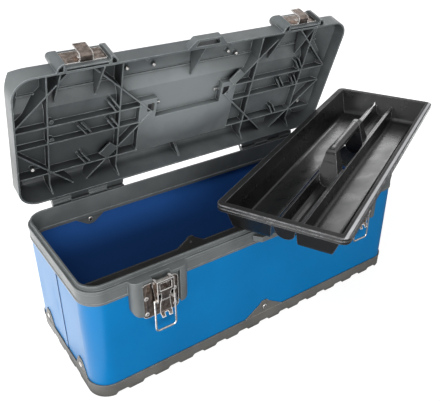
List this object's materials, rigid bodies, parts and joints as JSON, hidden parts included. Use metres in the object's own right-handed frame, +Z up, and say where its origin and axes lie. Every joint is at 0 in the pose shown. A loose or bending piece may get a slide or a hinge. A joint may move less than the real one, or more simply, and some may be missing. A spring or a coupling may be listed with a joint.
{
  "type": "portable tool box",
  "caption": "Steel tool box with plastic base, collar and hinged lid, draw latches, folding carry handle and a lift-out tote tray, shown open.",
  "frame": {"origin": "middle of the box's underside, at floor level", "axes": "+X along the box's length, to the right seen from the latch side; +Y towards the hinge; +Z up"},
  "size_m": [0.7895, 0.4146, 0.4417],
  "materials": {
    "base_plastic": "moulded, satin",
    "blue_paint": "semi-gloss enamel",
    "collar_plastic": "moulded, satin",
    "lid_plastic": "moulded, satin",
    "latch_nickel": "nickel plated, pressed",
    "bail_wire": "nickel plated wire",
    "fastener_steel": "plated",
    "pin_steel": "bright drawn",
    "handle_plastic": "moulded, fine grain",
    "tray_plastic": "moulded, semi-gloss"
  },
  "bodies": {
    "box": {"base_tray": "base_plastic", "body_shell": "blue_paint", "top_collar": "collar_plastic", "padlock_lug": "collar_plastic", "base_screws": "fastener_steel", "collar_screws": "fastener_steel", "latch_base_left": "latch_nickel", "latch_base_right": "latch_nickel", "latch_rivets_left": "fastener_steel", "latch_rivets_right": "fastener_steel", "lever_pin_left": "fastener_steel", "lever_pin_right": "fastener_steel", "latch_backing_left": "fastener_steel", "latch_backing_right": "fastener_steel"},
    "hinge_pins": {"hinge_pin_left": "pin_steel", "hinge_pin_right": "pin_steel"},
    "lid": {"lid_shell": "lid_plastic", "keeper_left": "latch_nickel", "keeper_right": "latch_nickel", "keeper_rivets_left": "fastener_steel", "keeper_rivets_right": "fastener_steel", "handle_pin_left": "pin_steel", "handle_pin_right": "pin_steel"},
    "handle": {"carry_handle": "handle_plastic"},
    "lever_l": {"lever_left": "latch_nickel"},
    "lever_r": {"lever_right": "latch_nickel"},
    "bail_l": {"bail_left": "bail_wire"},
    "bail_r": {"bail_right": "bail_wire"},
    "tray": {"tote_tray": "tray_plastic"}
  },
  "joints": [
    {"name": "lid_open", "type": "hinge", "parent": "box", "child": "hinge_pins", "pos_m": [0, 0.11985, 0.1951], "axis": [-1, 0, 0], "range_deg": [0, 30]},
    {"name": "lid_close", "type": "hinge", "parent": "hinge_pins", "child": "lid", "pos_m": [0, 0.11985, 0.1951], "axis": [1, 0, 0], "range_deg": [0, 71.3]},
    {"name": "handle_swing", "type": "hinge", "parent": "lid", "child": "handle", "pos_m": [0, 0.10561, 0.32077], "axis": [1, 0, 0], "range_deg": [0, 100]},
    {"name": "lever_left_lift", "type": "hinge", "parent": "box", "child": "lever_l", "pos_m": [-0.187, -0.12605, 0.177], "axis": [1, 0, 0], "range_deg": [-92, 0]},
    {"name": "lever_right_lift", "type": "hinge", "parent": "box", "child": "lever_r", "pos_m": [0.187, -0.12605, 0.177], "axis": [1, 0, 0], "range_deg": [-92, 0]},
    {"name": "bail_left_swing", "type": "hinge", "parent": "lever_l", "child": "bail_l", "pos_m": [-0.187, -0.13105, 0.1505], "axis": [-1, 0, 0], "range_deg": [0, 186]},
    {"name": "bail_right_swing", "type": "hinge", "parent": "lever_r", "child": "bail_r", "pos_m": [0.187, -0.13105, 0.1505], "axis": [-1, 0, 0], "range_deg": [0, 140]},
    {"name": "tray_pull", "type": "slide", "parent": "box", "child": "tray", "axis": [0, -1, 0], "range_m": [0, 0.266]}
  ],
  "couplings": [
    {"joint": "tray_pull", "follows": "lid_close", "m_per_rad": 0.21295}
  ]
}
